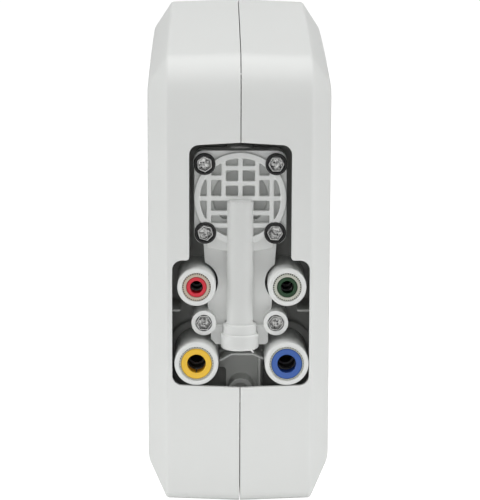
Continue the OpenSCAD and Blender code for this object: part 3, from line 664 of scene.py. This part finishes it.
for port, (side, z, (barrel, tube, ring_r, flange, set_back, notch)) in port_kinds.items():
    face = front + set_back
    place = (port_shift + side * port_half, 0, z)
    shell = turned(port + "_barrel", [
        (ring_r, face + 0.5 * MM), (ring_r + 0.5 * MM, face), (barrel - 1.6 * MM, face),
        (barrel - 0.7 * MM, face + 0.25 * MM), (barrel - 0.2 * MM, face + 0.75 * MM),
        (barrel, face + 1.6 * MM),
        (barrel, front + 44 * MM), (tube + 2.3 * MM, front + 44 * MM), (tube + 2.3 * MM, front + 53.8 * MM),
        (tube - 0.9 * MM, front + 53.8 * MM), (tube - 0.9 * MM, face + 22 * MM),
        (tube + 0.075 * MM, face + 22 * MM), (tube + 0.075 * MM, face + 14 * MM),
        (tube + 2.4 * MM, face + 14 * MM), (tube + 2.4 * MM, face + 7 * MM),
        (ring_r, face + 7 * MM)], place)
    shell.data.materials.clear()
    shell.data.materials.append(valve_plastic)
    shell.data.materials.append(bore_painted_shade)
    # Faces of the bore wall take the painted shade; the rest of the barrel stays white.
    for facet in shell.data.polygons:
        across = Vector((facet.center.x - place[0], facet.center.z - place[2])).length
        facet.material_index = 1 if across < tube + 2.45 * MM and facet.center.y < front + 40 * MM else 0
    finish_piece(shell, "valve_white", "case", port + "_port")
    lip = face + 0.2 * MM
    rim = turned(port + "_notched_ring", [
        (flange + 0.25 * MM, lip), (ring_r - 0.03 * MM, lip), (ring_r - 0.03 * MM, face + 1.5 * MM),
        (ring_r - 0.05 * MM, face + 1.6 * MM), (ring_r - 0.05 * MM, face + 7 * MM),
        (tube + 2.35 * MM, face + 7 * MM), (tube + 2.35 * MM, face + 11 * MM),
        (tube + 1.5 * MM, face + 11 * MM), (tube + 1.5 * MM, face + 7.8 * MM),
        (tube + 1.05 * MM, face + 7.8 * MM), (tube + 1.05 * MM, face + 3.4 * MM),
        (flange + 0.15 * MM, face + 3.4 * MM), (flange + 0.15 * MM, lip + 0.3 * MM)],
        place, steps=notches * 4)
    for vert in rim.data.vertices:
        across = Vector((vert.co.x - place[0], vert.co.z - place[2]))
        turns = atan2(across.y, across.x) / (2 * pi) % 1 * notches + 0.01
        if across.length > ring_r - 0.04 * MM and vert.co.y < face + 1.55 * MM and turns % 1 < 0.5:
            shorter = 1 - notch / across.length
            vert.co.x = place[0] + across.x * shorter
            vert.co.z = place[2] + across.y * shorter
    rim.data.materials.clear()
    rim.data.materials.append(ring_beige if port == "drain" else ring_grey)
    rim.data.materials.append(notch_dark)
    for facet in rim.data.polygons:
        across = Vector((facet.center.x - place[0], facet.center.z - place[2])).length
        low_floor = face + 1.45 * MM < facet.center.y < face + 1.7 * MM
        facet.material_index = 1 if low_floor and across > ring_r - notch - 0.05 * MM else 0
    finish_piece(rim, "ring_beige" if port == "drain" else "ring_grey", "case", port + "_ring")
    collet = turned(port + "_collet_sleeve", [
        (tube + 0.45 * MM, face + 0.4 * MM), (flange - 0.3 * MM, face + 0.4 * MM),
        (flange + 0.05 * MM, face + 0.75 * MM), (flange + 0.05 * MM, face + 2 * MM),
        (tube + 0.95 * MM, face + 2 * MM), (tube + 0.95 * MM, face + 7.8 * MM),
        (tube + 1.35 * MM, face + 8.2 * MM), (tube + 1.35 * MM, face + 9.4 * MM),
        (tube + 0.2 * MM, face + 9.4 * MM), (tube + 0.2 * MM, face + 0.65 * MM)], place)
    slits = []
    for turn in (slit_turns[port], slit_turns[port] + 90):
        bm = bmesh.new()
        size = Matrix.Diagonal((24 * MM, 9.8 * MM, 0.7 * MM, 1))
        bmesh.ops.create_cube(bm, size=1, matrix=Matrix.Translation((place[0], face + 6.3 * MM, z))
                              @ Matrix.Rotation(radians(turn), 4, "Y") @ size)
        slits.append(mesh_object("slit", bm))
    cut(collet, *slits)
    soft_edges(collet, 0.12 * MM, 2)
    paint_all(collet, collet_paints[port])
    finish_piece(collet, slots[port], port + "_collet", port + "_collet")

# ---- Rear grips, manifold and inner parts ----
# Grey grips close the three cartridges at the back, each with a bar to turn and pull by. Behind them are
# white cartridge shells, the white manifold with its sockets, and the filter beds.
grip_plastic = plastic("grip_plastic", (0.30, 0.31, 0.32), 0.42, 0.55, 1100, 0.04, 0.06)
inner_plastic = plastic("inner_plastic", (0.74, 0.75, 0.74), 0.35, 0.5, 800, 0.02, 0.04)
natural_plastic = plastic("natural_plastic", (0.70, 0.66, 0.55), 0.35, 0.5, 800, 0.02, 0.05)
pad_rubber = plastic("pad_rubber", (0.5, 0.5, 0.49), 0.6, 0.75, 1500, 0.05, 0.08)
carbon = plastic("carbon_block", (0.02, 0.02, 0.021), 0.75, 0.95, 500, 0.3, 0.5)
membrane_wrap = plastic("membrane_wrap", (0.66, 0.70, 0.76), 0.3, 0.5, 260, 0.15, 0.12)
for cart in cart_heights:
    grip = softened(cart + "_grip", 0.6 * MM, 3, cart + "_turn_grip")
    paint_all(grip, grip_plastic)
    finish_piece(grip, "grip_grey", cart + "_handle", cart + "_grip")
    repaint(inner_plastic, cart + "_shell")
    repaint(black_rubber, cart + "_orings")
repaint(inner_plastic, "manifold", "shutoff_seat", "prefilter_core", "permeate_tube", "postfilter_screens")
repaint(natural_plastic, "shutoff_piston", "flow_restrictor", "check_poppet")
repaint(black_rubber, "permeate_diaphragm", "feed_diaphragm", "flow_oring", "port_orings", "brine_seal")
repaint(steel, "shell_screws", "flow_screen", "check_spring")
repaint(steel_seat_painted_reflection, "grab_rings")
repaint(pad_rubber, "foot_pads")
repaint(carbon, "prefilter_block", "postfilter_block")
repaint(membrane_wrap, "membrane_roll")

# ---- Floor and lights ----
# A white floor and backdrop, so bright that they lose themselves in each other, lit as in a studio: a broad
# soft light overhead, one on each side for the bevels, a weak one from the front and a faint strip low down.
bm = bmesh.new()
floor_edge = [bm.verts.new((-3, -2.5, -0.0005)), bm.verts.new((3, -2.5, -0.0005))]
bm.edges.new(floor_edge)
pushed = bmesh.ops.extrude_edge_only(bm, edges=bm.edges[:])["geom"]
bmesh.ops.translate(bm, verts=[v for v in pushed if isinstance(v, bmesh.types.BMVert)], vec=(0, 6, 0))
floor = mesh_object("floor", bm)
floor_paint = bpy.data.materials.new("floor_paint")
floor_paint.use_nodes = True
floor_tree = floor_paint.node_tree
floor_body = floor_tree.nodes["Principled BSDF"]
floor_body.inputs["Base Color"].default_value = (0.9, 0.9, 0.9, 1)
floor_body.inputs["Roughness"].default_value = 0.9
floor_glow = floor_tree.nodes.new("ShaderNodeEmission")
floor_glow.inputs["Strength"].default_value = 1.25
floor_seen = floor_tree.nodes.new("ShaderNodeLightPath")
floor_share = floor_tree.nodes.new("ShaderNodeMath")
floor_share.operation = "MULTIPLY"
floor_share.inputs[1].default_value = 0.9
floor_mix = floor_tree.nodes.new("ShaderNodeMixShader")
floor_tree.links.new(floor_seen.outputs["Is Camera Ray"], floor_share.inputs[0])
floor_tree.links.new(floor_share.outputs[0], floor_mix.inputs["Fac"])
floor_tree.links.new(floor_body.outputs["BSDF"], floor_mix.inputs[1])
floor_tree.links.new(floor_glow.outputs["Emission"], floor_mix.inputs[2])
floor_tree.links.new(floor_mix.outputs["Shader"], floor_tree.nodes["Material Output"].inputs["Surface"])
floor.data.materials.append(floor_paint)

scene.view_settings.view_transform = "Standard"
scene.view_settings.look = "None"
sky = bpy.data.worlds.new("studio")
sky.use_nodes = True
sky_seen = sky.node_tree.nodes.new("ShaderNodeLightPath")
sky_share = sky.node_tree.nodes.new("ShaderNodeMapRange")
sky_share.inputs["To Min"].default_value = 0.29
sky_share.inputs["To Max"].default_value = 1.05
sky_back = sky.node_tree.nodes["Background"]
sky_back.inputs["Color"].default_value = (1, 1, 1, 1)
sky.node_tree.links.new(sky_seen.outputs["Is Camera Ray"], sky_share.inputs["Value"])
sky.node_tree.links.new(sky_share.outputs["Result"], sky_back.inputs["Strength"])
scene.world = sky


def soft_light(name, place, aim, size, power):
    lamp = bpy.data.lights.new(name, "AREA")
    lamp.shape = "RECTANGLE"
    lamp.size, lamp.size_y = size
    lamp.energy = power
    holder = bpy.data.objects.new(name, lamp)
    scene.collection.objects.link(holder)
    holder.location = place
    holder.visible_camera = False
    holder.rotation_euler = (Vector(aim) - Vector(place)).to_track_quat("-Z", "Y").to_euler()


soft_light("overhead", (0, -0.1, 1.3), (0, 0, 0.15), (1.2, 1.6), 11.2)
soft_light("left_side", (-1.4, -0.5, 0.3), (0, -0.1, 0.14), (0.8, 1.4), 9.7)
soft_light("right_side", (1.4, -0.5, 0.3), (0, -0.1, 0.14), (0.8, 1.4), 9.3)
soft_light("front", (-0.1, -1.5, 0.28), (0, -0.15, 0.12), (0.3, 0.3), 1.25)
soft_light("low_front", (0, -0.26, 0.015), (0, -0.15, 0.02), (0.4, 0.02), 0.034)
